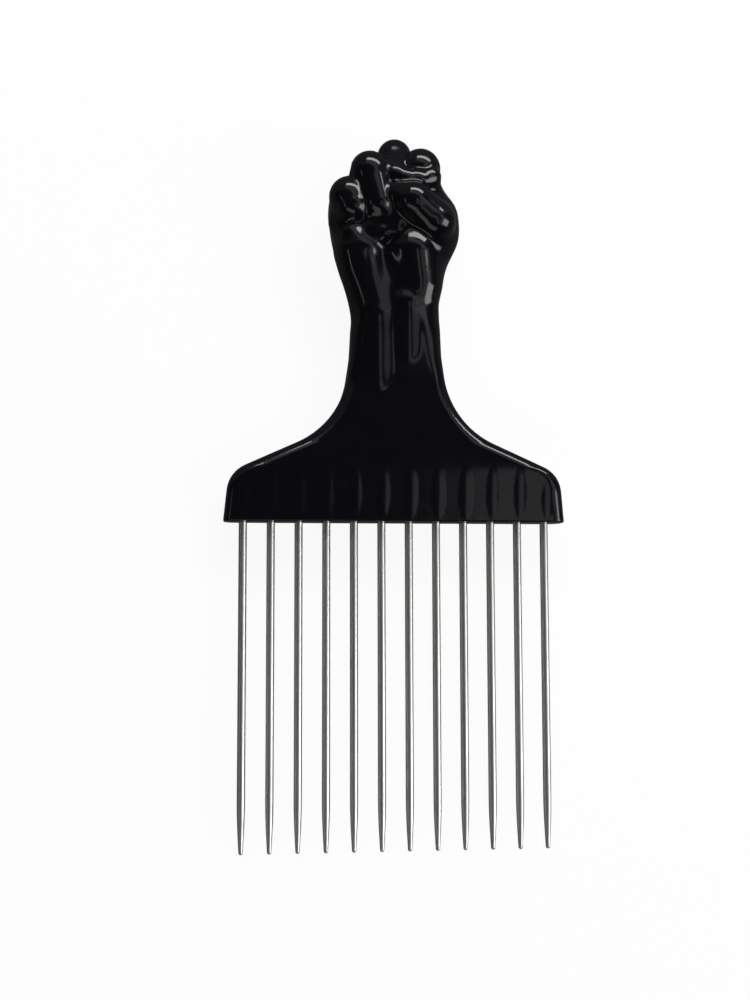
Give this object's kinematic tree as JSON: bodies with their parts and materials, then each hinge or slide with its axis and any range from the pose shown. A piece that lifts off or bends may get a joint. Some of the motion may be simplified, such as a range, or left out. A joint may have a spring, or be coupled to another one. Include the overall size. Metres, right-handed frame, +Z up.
{
  "type": "afro pick",
  "caption": "Hair pick with a row of long round steel pins set in a glossy black moulded handle shaped as a raised fist on a wide comb head; lifts and separates tight curls.",
  "frame": {"origin": "middle of the bounding box, on the surface that the pick lies on with its palm side up", "axes": "+X along the row of pins, +Y from the pin tips to the fist, +Z up out of the palm side"},
  "size_m": [0.072, 0.15, 0.0193],
  "materials": {
    "handle_plastic": "polished injection-moulded polystyrene, black",
    "pin_steel": "bright drawn steel wire, ground taper"
  },
  "bodies": {
    "root": {"handle": "handle_plastic", "pin_01": "pin_steel", "pin_02": "pin_steel", "pin_03": "pin_steel", "pin_04": "pin_steel", "pin_05": "pin_steel", "pin_06": "pin_steel", "pin_07": "pin_steel", "pin_08": "pin_steel", "pin_09": "pin_steel", "pin_10": "pin_steel", "pin_11": "pin_steel", "pin_12": "pin_steel"}
  },
  "joints": []
}
